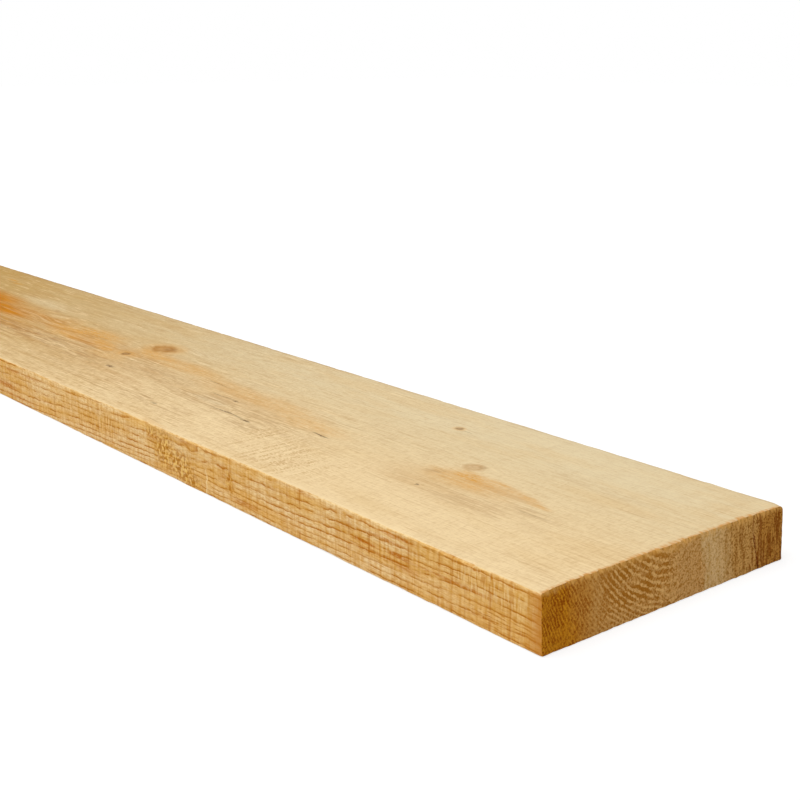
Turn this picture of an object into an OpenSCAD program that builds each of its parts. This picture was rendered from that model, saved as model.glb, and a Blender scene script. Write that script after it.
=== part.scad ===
// A plank of rough-sawn softwood, lying flat on its lower face.
// X runs along the grain, Y across the face and Z up through the thickness.
// The origin is the middle of the lower face.
// The upper arris of the -Y edge is torn in two places, and the +X end has a drying check.

/* [Plank] */
// Length along the grain
plank_length = 1800; // [600:100:6000]
// Width across the face
plank_width = 150; // [75:1:300]
// Thickness from the lower face to the upper face
plank_thickness = 25; // [12:1:75]
// Radius of the four long arrises, worn by handling
arris_radius = 0.8; // [0.2:0.1:3]

/* [Arris torn near the end] */
// Distance of the blunt end of the tear from the +X end of the plank
end_tear_inset = 38; // [5:1:150]
// Length from the blunt end to the point where the tear runs out
end_tear_length = 75; // [10:1:200]
// How far the tear reaches across the upper face at its blunt end
end_tear_width = 1.8; // [0.5:0.1:6]
// How far the tear reaches down the edge at its blunt end
end_tear_depth = 1.5; // [0.5:0.1:6]

/* [Arris torn along the edge] */
// Distance of the blunt end of the tear from the +X end of the plank
edge_tear_inset = 228; // [160:1:350]
// Length from the blunt end to the point where the tear runs out
edge_tear_length = 110; // [10:1:200]
// How far the tear reaches across the upper face at its blunt end
edge_tear_width = 1.6; // [0.5:0.1:6]
// How far the tear reaches down the edge at its blunt end
edge_tear_depth = 1.6; // [0.5:0.1:6]

/* [Drying check] */
// Distance of the crack in the +X end from the +Y edge, at the lower face
check_inset = 17; // [8:0.5:30]
// Height of the crack above the lower face
check_height = 16; // [3:0.5:40]
// Width of the crack where it opens on the end
check_width = 0.7; // [0.2:0.1:2]
// How far the crack runs into the plank along the grain
check_depth = 30; // [5:1:120]
// Lean of the crack from the vertical, towards the middle of the plank
check_lean = 12; // [0:1:40]

/* [Hidden] */
// How far a cut runs past the face that it opens on
cut_overrun = 1;
$fn = 48;

// The sawn section: a rectangle with its four corners rounded
module plank_section() {
    core_width = plank_width - 2 * arris_radius;
    core_thickness = plank_thickness - 2 * arris_radius;
    translate([-plank_width / 2, arris_radius])
        square([plank_width, core_thickness]);
    translate([-core_width / 2, 0])
        square([core_width, plank_thickness]);
    for (side = [-1, 1], level = [0, 1])
        translate([side * core_width / 2, arris_radius + level * core_thickness])
            circle(r = arris_radius);
}

// The section sawn to length, square at both ends
module plank_blank() {
    translate([-plank_length / 2, 0, 0])
        rotate([90, 0, 90])
            linear_extrude(height = plank_length)
                plank_section();
}

// A sliver torn off the upper arris of the -Y edge: it starts from a point and widens to a blunt end
module arris_tear(inset, length, width, depth) {
    rise = cut_overrun * depth / width;
    translate([plank_length / 2 - inset, -plank_width / 2, plank_thickness])
        polyhedron(
            points = [
                [-length, 0, 0],
                [0, -cut_overrun, -depth - rise],
                [0, width + cut_overrun, rise],
                [0, -cut_overrun, rise]
            ],
            faces = [[1, 3, 2], [0, 1, 2], [0, 2, 3], [0, 3, 1]]
        );
}

// A crack in the +X end: a thin wedge that closes along the grain
module drying_check() {
    mouth = check_width * (check_depth + cut_overrun) / check_depth;
    translate([plank_length / 2, plank_width / 2 - check_inset, 0])
        rotate([check_lean, 0, 0])
            translate([0, 0, -check_height])
                linear_extrude(height = 2 * check_height)
                    polygon([
                        [-check_depth, 0],
                        [cut_overrun, -mouth / 2],
                        [cut_overrun, mouth / 2]
                    ]);
}

module plank() {
    color("burlywood")
        difference() {
            plank_blank();
            arris_tear(end_tear_inset, end_tear_length, end_tear_width, end_tear_depth);
            arris_tear(edge_tear_inset, edge_tear_length, edge_tear_width, edge_tear_depth);
            drying_check();
        }
}

plank();
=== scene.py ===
"""Looks of a rough-sawn softwood plank: a finely cut mesh with its saw marks, and a solid procedural wood.

Lengths are millimetres until they are given to Blender, in metres. A place on the plank is given as along,
the distance from the checked end, across, which is Y, and up, which is Z.
"""
import math
from collections import namedtuple
from types import SimpleNamespace

import bpy
import numpy as np
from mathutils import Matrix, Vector


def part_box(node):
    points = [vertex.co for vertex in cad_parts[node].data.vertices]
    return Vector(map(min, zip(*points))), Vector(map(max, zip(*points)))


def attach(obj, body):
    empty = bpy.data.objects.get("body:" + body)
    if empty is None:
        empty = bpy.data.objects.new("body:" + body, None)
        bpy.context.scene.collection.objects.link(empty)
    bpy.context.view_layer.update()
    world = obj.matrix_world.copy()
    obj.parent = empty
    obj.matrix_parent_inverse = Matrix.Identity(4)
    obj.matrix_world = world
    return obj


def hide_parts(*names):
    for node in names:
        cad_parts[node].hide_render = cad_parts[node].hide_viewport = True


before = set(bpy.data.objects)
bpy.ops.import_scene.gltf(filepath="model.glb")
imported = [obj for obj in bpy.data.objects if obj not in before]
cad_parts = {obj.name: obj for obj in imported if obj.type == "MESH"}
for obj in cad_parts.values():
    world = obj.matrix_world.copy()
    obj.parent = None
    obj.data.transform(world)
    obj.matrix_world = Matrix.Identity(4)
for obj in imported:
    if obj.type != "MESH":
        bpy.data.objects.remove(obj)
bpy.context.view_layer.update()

MM = 0.001
BOX_LOW, BOX_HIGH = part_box("plank")
LENGTH, WIDTH, THICK = ((BOX_HIGH - BOX_LOW) / MM)[:]
END_X = LENGTH / 2
SIDE_Y = WIDTH / 2

# The section. Its four sides follow each other anticlockwise, seen from +X, and an arris comes after each.
SIDES = range(4)
LOWER, BACK, UPPER, FRONT = SIDES
CHECKED_END, PLAIN_END = 4, 5
WIDE_SIDES = (LOWER, UPPER)
# The corner after each side: its side of Y, and its level of Z
CORNERS = ((1, 0), (1, 1), (-1, 1), (-1, 0))
KNOCKED_CORNER = BACK
TORN_CORNER = UPPER

# Camera, fitted to the photograph: its place is given from the middle of the checked end's lower edge
CAMERA_AT = Vector((304.8, -394.1, 217.7))
CAMERA_AZIMUTH = math.radians(50.49)
CAMERA_ELEVATION = math.radians(15.19)
CAMERA_LENS = 58.51
CAMERA_SENSOR = 36.0
CAMERA_CLIP = 10.0

# Mesh fineness: steps along the plank, and cells round its section, which are split further close to the ends
CLOSE_STEP = 0.6
CLOSE_REACH = 300.0
STATION_STEP = 1.5
WIDE_CELLS = 13
EDGE_CELLS = 4
ARRIS_CELLS = 3
WIDE_SPLIT = 12
EDGE_SPLIT = 7
END_RINGS = np.array((8.0, 6.0, 4.5, 3.4, 2.5, 1.8, 1.2, 0.7, 0.3, 0.0))
SMOOTH_ANGLE = math.radians(38)

# A random curve or surface. The number of a corner, side or end is added to its seed.
Swing = namedtuple("Swing", "strength pitch seed")
RANDOM_LEVELS = 1024

# Worn arrises, with nicks that go less far down the edge than across the face
ARRIS_RADIUS = 0.8
ARRIS_SWINGS = (Swing(0.35, 23, 11), Swing(0.25, 5, 21))
NICKS = Swing(2.4, 9, 31)
NICK_START = 0.7
NICK_DOWN = 0.8

# The two torn stretches of the upper front arris, and the knocked corner of the checked end
Tear = namedtuple("Tear", "inset length width depth")
TEARS = (Tear(38, 75, 1.8, 1.5), Tear(228, 110, 1.6, 1.6))
TEAR_SWINGS = (Swing(0.12, 3.5, 41),)
KNOCK_REACH = 4.0
KNOCK_WIDTH = 2.0
KNOCK_DEPTH = 1.0

# Drying check in the end, and how the mesh is drawn together round it
CHECK_INSET = 17.0
CHECK_HEIGHT = 16.0
CHECK_HALF_WIDTH = 0.35
CHECK_DEPTH = 2.0
CHECK_LEAN = math.tan(math.radians(12))
CHECK_SWAY = 6.0
GATHER_SHARE = 0.7
GATHER_REACH = 4.0

# Scores that the saw left across the front edge: along and strength. Random ones follow them.
FRONT_SCORES = [
    (17, 0.7), (28, 0.9), (42, 0.4), (50, 1.0), (58, 0.8), (77, 0.8), (103, 1.0), (117, 0.8),
    (138, 0.4), (154, 0.8), (164, 0.6), (189, 0.4), (213, 0.5), (236, 0.3), (262, 0.4),
]
FRONT_SCORES_END = 285.0
BACK_SCORES_START = 6.0
SCORE_STRENGTHS = (0.15, 0.7)
SCORE_GAPS = (8, 30)
SCORE_HALF_WIDTH = 0.5
SCORE_DEPTH = 0.12
SCORE_SLANT = 0.02

# The saw's ripple, the slow swell of the edges, and the patches of the wide faces where the ripple is rough
RIPPLE_DEPTH = 0.06
SWELL_DEPTH = 0.08
EDGE_RIPPLES = (Swing(0.6, 3.4, 61), Swing(0.4, 1.9, 65))
EDGE_SWELLS = (Swing(1.0, 70, 69),)
FACE_RIPPLES = (Swing(0.6, 3.5, 71), Swing(0.4, 7.3, 75))
FACE_PATCHES = Swing(0.4, 30, 79)
FACE_PATCH_STRETCH = 3.0

# How the cross-cut left the ends: each leans back towards its upper rim, and more between its corners, but
# less at a tuft that stands
END_SEEDS = {1: 81, -1: 91}
END_FADE = 8.0
END_LEANS = {1: 1.2, -1: 0.5}
END_HOLLOW = 1.3
FRONT_CORNER_REACH = 6.0
BACK_CORNER_REACH = 22.0
STANDING_TUFT = 0.0
STANDING_REACH = 9.0
STANDING_SHARE = 0.6
# The ends' saw lines, which slant across Y and Z, and their fuzz
END_SLANT_Y = 0.86
END_SLANT_Z = 0.5
END_LINE_DEPTH = 0.05
END_LINES = (Swing(0.6, 2.8, 3), Swing(0.4, 1.1, 4))
END_FUZZES = (Swing(0.10, 1.4, 5), Swing(0.06, 4, 6))
# Chips of the ends' upper rims, which are largest near the middle, and the wear of their other rims
CHIP_PITCH = 4.5
SPLINTERS = Swing(0.7, 1.6, 1)
CHIP_MIDDLE = -2.0
CHIP_REACH = 34.0
CHIP_LEAST = 0.1
CHIP_CORNER_SHARE = 0.5
CHIP_SETBACK = 1.1
CHIP_LOWERING = 0.15
CHIP_HEIGHT = 1.2
RIM_REACH = 3.4
RIM_WEAR = 0.25
RIM_PATCHES = Swing(0.5, 2.5, 2)


# Random curves

def eased(share):
    """A share from 0 to 1 that starts and ends gently."""
    return share * share * (3 - 2 * share)


def wave(place, pitch, seed):
    """A smooth random curve from -1 to 1 that takes a new level every pitch."""
    levels = np.random.default_rng(seed).uniform(-1, 1, RANDOM_LEVELS)
    step = np.asarray(place, float) / pitch
    index = np.floor(step).astype(int)
    share = eased(step - index)
    before = levels[index % RANDOM_LEVELS]
    after = levels[(index + 1) % RANDOM_LEVELS]
    return before * (1 - share) + after * share


def swung(place, swings, number=0):
    """The sum of some random curves at a place."""
    return sum(s.strength * wave(place, s.pitch, s.seed + number) for s in swings)


def patches(first, second, pitch, seed):
    """A smooth random surface from -1 to 1 that takes a new level every pitch both ways."""
    levels = np.random.default_rng(seed).uniform(-1, 1, (RANDOM_LEVELS, RANDOM_LEVELS))
    a = np.asarray(first, float) / pitch
    b = np.asarray(second, float) / pitch
    i = np.floor(a).astype(int)
    j = np.floor(b).astype(int)
    s = eased(a - i)
    t = eased(b - j)
    i, i_next = i % RANDOM_LEVELS, (i + 1) % RANDOM_LEVELS
    j, j_next = j % RANDOM_LEVELS, (j + 1) % RANDOM_LEVELS
    near = levels[i, j] * (1 - s) + levels[i_next, j] * s
    far = levels[i, j_next] * (1 - s) + levels[i_next, j_next] * s
    return near * (1 - t) + far * t


# The section's outline

def corner_place(corner, in_y, in_z):
    """The Y and Z of a place that lies in_y and in_z in from a corner of the section."""
    side, level = CORNERS[corner]
    return side * (SIDE_Y - in_y), level * THICK + (1 - 2 * level) * in_z


def worn_arrises(along):
    """How far each arris is worn across its face and down its edge, at each station, and how round it is."""
    across, down = [], []
    for corner in SIDES:
        worn = ARRIS_RADIUS * (1 + swung(along, ARRIS_SWINGS, corner))
        nick = np.maximum(wave(along, NICKS.pitch, NICKS.seed + corner) - NICK_START, 0) * NICKS.strength
        across.append(worn + nick)
        down.append(worn + NICK_DOWN * nick)
    knocked = np.exp(-(along / KNOCK_REACH) ** 2)
    across[KNOCKED_CORNER] += KNOCK_WIDTH * knocked
    down[KNOCKED_CORNER] += KNOCK_DEPTH * knocked
    ragged = 1 + swung(along, TEAR_SWINGS)
    roundness = [np.ones_like(along) for corner in SIDES]
    for tear in TEARS:
        share = np.clip((tear.inset + tear.length - along) / tear.length, 0, 1) * (along > tear.inset)
        torn = share * ragged
        roundness[TORN_CORNER] = np.minimum(roundness[TORN_CORNER], 1 - np.clip(2 * share, 0, 1))
        across[TORN_CORNER] = np.maximum(across[TORN_CORNER], tear.width * torn)
        down[TORN_CORNER] = np.maximum(down[TORN_CORNER], tear.depth * torn)
    return across, down, roundness


def section(x, runs):
    """The Y and Z of the points round the section, for each station: stations by points."""
    across, down, roundness = worn_arrises(END_X - x)
    flush = np.zeros_like(x)
    all_y, all_z = [], []
    for side in SIDES:
        wide = side in WIDE_SIDES
        (start_y, start_z), (end_y, end_z) = (
            corner_place(corner, across[corner], flush) if wide else corner_place(corner, flush, down[corner])
            for corner in ((side - 1) % len(SIDES), side)
        )
        share = runs[2 * side][None, :]
        all_y.append(start_y[:, None] * (1 - share) + end_y[:, None] * share)
        all_z.append(start_z[:, None] * (1 - share) + end_z[:, None] * share)
        share = runs[2 * side + 1][None, :]
        turn = share * math.pi / 2
        bulge = roundness[side][:, None]
        leaving = 1 - bulge * np.sin(turn) - (1 - bulge) * share
        entering = 1 - bulge * np.cos(turn) - (1 - bulge) * (1 - share)
        y, z = corner_place(
            side,
            across[side][:, None] * (leaving if wide else entering),
            down[side][:, None] * (entering if wide else leaving),
        )
        all_y.append(y)
        all_z.append(z)
    return np.concatenate(all_y, 1), np.concatenate(all_z, 1)


def side_shares(runs):
    """How much each point round the section belongs to each side: 1 on the flat, fading round an arris."""
    shares = np.zeros((len(SIDES), sum(len(run) for run in runs)))
    start = 0
    for number, run in enumerate(runs):
        here = slice(start, start + len(run))
        side = number // 2
        if number % 2:
            shares[side, here] = np.cos(run * math.pi / 2)
            shares[(side + 1) % len(SIDES), here] = np.sin(run * math.pi / 2)
        else:
            shares[side, here] = 1
        start += len(run)
    return shares


# Relief that the saw left

def random_scores(start, seed):
    """Scores over the rest of an edge, at uneven distances."""
    draw = np.random.default_rng(seed)
    scores = []
    place = start
    while place < LENGTH:
        scores.append((place, draw.uniform(*SCORE_STRENGTHS)))
        place += draw.uniform(*SCORE_GAPS)
    return scores


EDGE_SCORES = {
    FRONT: FRONT_SCORES + random_scores(FRONT_SCORES_END, seed=52),
    BACK: random_scores(BACK_SCORES_START, seed=51),
}


def score_depth(along, up, scores):
    """How deep the scores are at each place of an edge, from 0 to 1."""
    deep = np.zeros(np.broadcast(along, up).shape)
    for place, strength in scores:
        off = (along - place + SCORE_SLANT * up) / SCORE_HALF_WIDTH
        deep = np.maximum(deep, strength * np.exp(-off * off))
    return deep


def edge_relief(along, up, side):
    """How far an edge lies behind its plane, and how strong its scores are."""
    deep = score_depth(along, up - THICK / 2, EDGE_SCORES[side])
    ripple = RIPPLE_DEPTH / 2 * (1 + swung(along, EDGE_RIPPLES, side))
    swell = SWELL_DEPTH / 2 * (1 + swung(along, EDGE_SWELLS, side))
    return SCORE_DEPTH * deep + ripple + swell, deep


def face_relief(along, across, side):
    """How far a wide face lies behind its plane, and how strong its saw marks are."""
    ridge = swung(along + SCORE_SLANT * across, FACE_RIPPLES, side)
    surface = patches(along / FACE_PATCH_STRETCH, across, FACE_PATCHES.pitch, FACE_PATCHES.seed + side)
    rough = 1 - FACE_PATCHES.strength + FACE_PATCHES.strength * surface
    return RIPPLE_DEPTH * rough * (1 + ridge), np.clip(-ridge * rough, 0, 1)


def saw_relief(x, y, z, shares):
    """What the saw took off the four sides: the moved Y and Z, and how strong the marks are at each point."""
    along = (END_X - x)[:, None]
    marks = np.zeros_like(y)
    new_y, new_z = y.copy(), z.copy()
    for side, inward in ((BACK, -1), (FRONT, 1)):
        depth, deep = edge_relief(along, z, side)
        new_y += inward * shares[side] * depth
        marks += shares[side] * deep
    for side, inward in ((LOWER, 1), (UPPER, -1)):
        depth, deep = face_relief(along, y, side)
        new_z += inward * shares[side] * depth
        marks += shares[side] * deep
    return new_y, new_z, marks


# Relief of the cross-cut ends

def breakout(y, seed):
    """How much of the upper arris the cross-cut broke away at each Y of an end."""
    middle = np.exp(-((y - CHIP_MIDDLE) / CHIP_REACH) ** 2)
    chips = np.maximum(wave(y, CHIP_PITCH, seed), 0)
    splinters = SPLINTERS.strength * np.abs(wave(y, SPLINTERS.pitch, seed + SPLINTERS.seed))
    return CHIP_LEAST + (CHIP_CORNER_SHARE + (1 - CHIP_CORNER_SHARE) * middle) * (chips + splinters)


def upper_setback(y, end):
    """How far back the upper rim of an end lies at each Y, without its chips."""
    front = 1 - np.exp(-((SIDE_Y + y) / FRONT_CORNER_REACH) ** 2)
    back = 1 - np.exp(-((SIDE_Y - y) / BACK_CORNER_REACH) ** 2)
    standing = STANDING_SHARE * np.exp(-((y - STANDING_TUFT) / STANDING_REACH) ** 2)
    return END_LEANS[end] + END_HOLLOW * front * back * (1 - standing)


def end_roughness(y, z, end):
    """How far each point of a cross-cut end lies behind the plank's full length."""
    seed = END_SEEDS[end]
    lines = END_LINE_DEPTH * (1 + swung(END_SLANT_Y * y + END_SLANT_Z * z, END_LINES, seed))
    fuzz = sum(f.strength * (1 + patches(y, z, f.pitch, seed + f.seed)) for f in END_FUZZES)
    broken = CHIP_SETBACK * breakout(y, seed) * np.exp(-(THICK - z) / CHIP_HEIGHT)
    return upper_setback(y, end) * z / THICK + lines + fuzz + broken


def check_line(z):
    """The Y of the drying check at each height."""
    return SIDE_Y - CHECK_INSET - CHECK_LEAN * np.minimum(z, CHECK_HEIGHT)


def check_depth(y, z):
    """How far the drying check runs into the end at each point of it."""
    closing = np.sqrt(np.clip((CHECK_HEIGHT - z) / CHECK_HEIGHT, 0, 1))
    gap = np.clip(1 - np.abs(y - check_line(z)) / CHECK_HALF_WIDTH, 0, 1)
    return CHECK_DEPTH * closing * gap


def lean_to_check(y, z):
    """Moves the columns of the checked end's grid so that they follow the leaning check."""
    near = np.exp(-((y - check_line(0)) / CHECK_SWAY) ** 2)
    fade = eased(np.clip((THICK - z) / (THICK - CHECK_HEIGHT), 0, 1))
    return y + near * fade * (check_line(z) - check_line(0))


def shape_end(x, y, z, shares, end):
    """Rounds the section off in the last millimetres before an end, and lays its rings back to the end."""
    seed = END_SEEDS[end]
    off_end = (END_X - np.abs(x))[:, None]
    share = np.clip(1 - off_end / RIM_REACH, 0, 1) ** 3
    surface = patches(y, z, RIM_PATCHES.pitch, seed + RIM_PATCHES.seed)
    wear = RIM_WEAR * (1 + RIM_PATCHES.strength * surface)
    new_z = z + share * (shares[LOWER] * wear - CHIP_LOWERING * shares[UPPER] * breakout(y, seed))
    new_y = y + share * wear * (shares[FRONT] - shares[BACK])
    new_x = end * (END_X - off_end - end_roughness(y, z, end) * (1 - off_end / END_FADE))
    return new_x, new_y, new_z


# The mesh

FAR_FROM_RIM = 20.0


class PlankMesh:
    """Gathers the plank's points and faces, with the side that each face belongs to."""

    def __init__(self):
        self.points = []
        self.marks = []
        self.rims = []
        self.faces = []
        self.sides = []
        self.count = 0

    def add_points(self, x, y, z, marks, off_rim):
        """Adds points, with their saw marks and distance from an end's rim, and returns their numbers."""
        numbers = self.count + np.arange(y.size).reshape(y.shape)
        self.points.append(np.stack([x.ravel(), y.ravel(), z.ravel()], 1))
        self.marks.append(marks.ravel())
        self.rims.append(np.broadcast_to(off_rim, y.shape).ravel())
        self.count += y.size
        return numbers

    def add_faces(self, faces, sides):
        self.faces.extend(faces)
        self.sides.extend(sides)


def quads(first, second, third, fourth):
    """Quads from the numbers of their corners, given as four arrays of one shape."""
    return np.stack([first, second, third, fourth], -1).reshape(-1, 4).tolist()


def round_section(wide, edge, arris):
    """A list with an entry for each side and each arris, in their order round the section."""
    return [wide, arris, edge, arris] * 2


def even_runs(wide, edge):
    """Where the points of each run round the section lie, as shares of it, for that many cells a side."""
    return [np.arange(cells) / cells for cells in round_section(wide, edge, ARRIS_CELLS)]


def gather_at_check(runs):
    """Draws the points of the wide sides closer together where the drying check opens."""
    middle = (check_line(0) + SIDE_Y) / WIDTH
    runs = list(runs)
    for side, place in ((LOWER, middle), (UPPER, 1 - middle)):
        off = runs[2 * side] - place
        near = np.exp(-(off * WIDTH / GATHER_REACH) ** 2)
        runs[2 * side] = runs[2 * side] - GATHER_SHARE * off * near
    return runs


def cell_sides(runs):
    """The side of each cell round the section. An arris's cell beside a wide face is the face's."""
    sides = []
    for number, run in enumerate(runs):
        side = number // 2
        if number % 2:
            own = 1 if side in WIDE_SIDES else len(run) - 1
            sides += [side] * own + [(side + 1) % len(SIDES)] * (len(run) - own)
        else:
            sides += [side] * len(run)
    return sides


def add_tube(mesh, numbers, sides):
    """Quads between the stations of one stretch."""
    after = np.roll(numbers, -1, 1)
    faces = quads(numbers[:-1], after[:-1], after[1:], numbers[1:])
    mesh.add_faces(faces, sides * (len(numbers) - 1))


def add_seam(mesh, coarse, fine, sides, end):
    """Faces between the last coarse ring and the first fine one on the way to an end."""
    wide, edge, arris = [WIDE_SPLIT] * WIDE_CELLS, [EDGE_SPLIT] * EDGE_CELLS, [1] * ARRIS_CELLS
    start = np.cumsum([0] + sum(round_section(wide, edge, arris), []))
    for j, side in enumerate(sides):
        pair = [int(coarse[j]), int(coarse[(j + 1) % len(coarse)])]
        row = [int(fine[k % len(fine)]) for k in range(start[j], start[j + 1] + 1)]
        mesh.add_faces([pair + row[::-1] if end > 0 else row + pair[::-1]], [side])


def add_cap(mesh, ring, ring_y, ring_z, runs, end):
    """Closes an end with a fine grid inside its last ring of points."""
    starts = np.cumsum([0] + [len(run) for run in runs])
    spans = [np.arange(start, stop + 1) % len(ring) for start, stop in zip(starts[:-1], starts[1:])]
    lower, back, upper, front = spans[0], spans[2], spans[4][::-1], spans[6][::-1]
    share_y = np.linspace(0, 1, len(lower))[:, None]
    share_z = np.linspace(0, 1, len(back))[None, :]
    y = ring_y[lower][:, None] * (1 - share_z) + ring_y[upper][:, None] * share_z
    z = ring_z[front][None, :] * (1 - share_y) + ring_z[back][None, :] * share_y
    if end > 0:
        y = lean_to_check(y, z)
    depth = end_roughness(y, z, end)
    if end > 0:
        depth = depth + check_depth(y, z)
    grid = mesh.add_points(end * (END_X - depth), y, z, np.zeros_like(y), 0.0)
    faces = quads(grid[:-1, :-1], grid[1:, :-1], grid[1:, 1:], grid[:-1, 1:])
    borders = (
        (lower, grid[:, 0]), (back, grid[-1, :]),
        (upper[::-1], grid[::-1, -1]), (front[::-1], grid[0, ::-1]),
    )
    for span, inner in borders:
        outer = ring[span]
        faces += quads(outer[:-1], outer[1:], inner[1:], inner[:-1])
    for span, corner in zip(spans[1::2], (grid[-1, 0], grid[-1, -1], grid[0, -1], grid[0, 0])):
        arc = ring[span]
        faces += [[int(corner), int(a), int(b)] for a, b in zip(arc[:-1], arc[1:])]
    if end < 0:
        faces = [face[::-1] for face in faces]
    mesh.add_faces(faces, [CHECKED_END if end > 0 else PLAIN_END] * len(faces))


def body_stations():
    """The stations between the two fine ends, closer together near the checked end."""
    rim = END_RINGS[0] + CLOSE_STEP
    turn = END_X - CLOSE_REACH
    far = np.arange(rim - END_X, turn, STATION_STEP)
    close = np.arange(END_X - rim, turn, -CLOSE_STEP)[::-1]
    return np.concatenate([far, close])


def build_plank_mesh():
    """The whole plank as one closed mesh."""
    mesh = PlankMesh()
    runs = even_runs(WIDE_CELLS, EDGE_CELLS)
    sides = cell_sides(runs)
    x = body_stations()
    y, z, marks = saw_relief(x, *section(x, runs), side_shares(runs))
    body = mesh.add_points(np.broadcast_to(x[:, None], y.shape), y, z, marks, FAR_FROM_RIM)
    add_tube(mesh, body, sides)
    for end in (1, -1):
        fine = even_runs(WIDE_CELLS * WIDE_SPLIT, EDGE_CELLS * EDGE_SPLIT)
        if end > 0:
            fine = gather_at_check(fine)
        shares = side_shares(fine)
        x = np.sort(end * (END_X - END_RINGS))
        off_rim = (END_X - np.abs(x))[:, None]
        y, z, marks = saw_relief(x, *section(x, fine), shares)
        x, y, z = shape_end(x, y, z, shares, end)
        rings = mesh.add_points(x, y, z, marks, off_rim)
        add_tube(mesh, rings, cell_sides(fine))
        first, last = (0, -1) if end > 0 else (-1, 0)
        add_seam(mesh, body[last], rings[first], sides, end)
        add_cap(mesh, rings[last], y[last], z[last], fine, end)
    return mesh


# The flat map that the wood can be baked on: the plank's two halves, each with a strip for every side, given
# by its start and height, and a patch for its end. Sizes are shares of the map.
MAP_NAME = "OFBake"
MAP_MARGIN = 0.008
HALF_HEIGHT = 0.5
STRIPS = {UPPER: (0.004, 0.230), LOWER: (0.240, 0.136), FRONT: (0.382, 0.043), BACK: (0.431, 0.029)}
END_STRIP = (0.466, 0.030)
END_WIDTH = 0.25


def map_places(points, side):
    """Where the corners of a face lie on the map."""
    half = 0 if points[:, 0].mean() > 0 else 1
    across = points[:, 1] / WIDTH + 0.5
    up = points[:, 2] / THICK
    if side in (CHECKED_END, PLAIN_END):
        start, height = END_STRIP
        u = MAP_MARGIN + END_WIDTH * across
        v = up
    else:
        start, height = STRIPS[side]
        reach = points[:, 0] * (1 - 2 * half)
        u = MAP_MARGIN + (1 - 2 * MAP_MARGIN) * reach / END_X
        v = across if side in WIDE_SIDES else up
    return np.stack([u, half * HALF_HEIGHT + start + height * v], 1)


# Values that the mesh's points carry, and the material slot of each side
MARKS_NAME = "saw_marks"
RIM_NAME = "off_rim"
SLOT_OF_SIDE = {LOWER: 0, UPPER: 0, BACK: 1, FRONT: 1, CHECKED_END: 2, PLAIN_END: 2}


def placed(name, data):
    """A new object in the scene."""
    thing = bpy.data.objects.new(name, data)
    bpy.context.scene.collection.objects.link(thing)
    return thing


def make_plank(materials):
    """The plank's object. The materials are for its wide faces, its edges and its ends."""
    built = build_plank_mesh()
    points = np.concatenate(built.points)
    mesh = bpy.data.meshes.new("sawn_plank")
    mesh.from_pydata((points * MM).tolist(), [], built.faces)
    mesh.polygons.foreach_set("material_index", [SLOT_OF_SIDE[side] for side in built.sides])
    for material in materials:
        mesh.materials.append(material)
    for name, values in ((MARKS_NAME, built.marks), (RIM_NAME, built.rims)):
        attribute = mesh.attributes.new(name, "FLOAT", "POINT")
        attribute.data.foreach_set("value", np.concatenate(values).astype(np.float32))
    places = [map_places(points[face], side) for face, side in zip(built.faces, built.sides)]
    layer = mesh.uv_layers.new(name=MAP_NAME)
    layer.data.foreach_set("uv", np.concatenate(places).astype(np.float32).ravel())
    mesh.polygons.foreach_set("use_smooth", np.ones(len(built.faces), bool))
    mesh.set_sharp_from_angle(angle=SMOOTH_ANGLE)
    mesh.update()
    return placed("sawn_plank", mesh)


# Node graphs

def tone(red, green, blue):
    """A colour for a socket, from its screen levels of 0 to 255."""
    levels = [level / 255 for level in (red, green, blue)]
    return [v / 12.92 if v <= 0.04045 else ((v + 0.055) / 1.055) ** 2.4 for v in levels] + [1.0]


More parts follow.
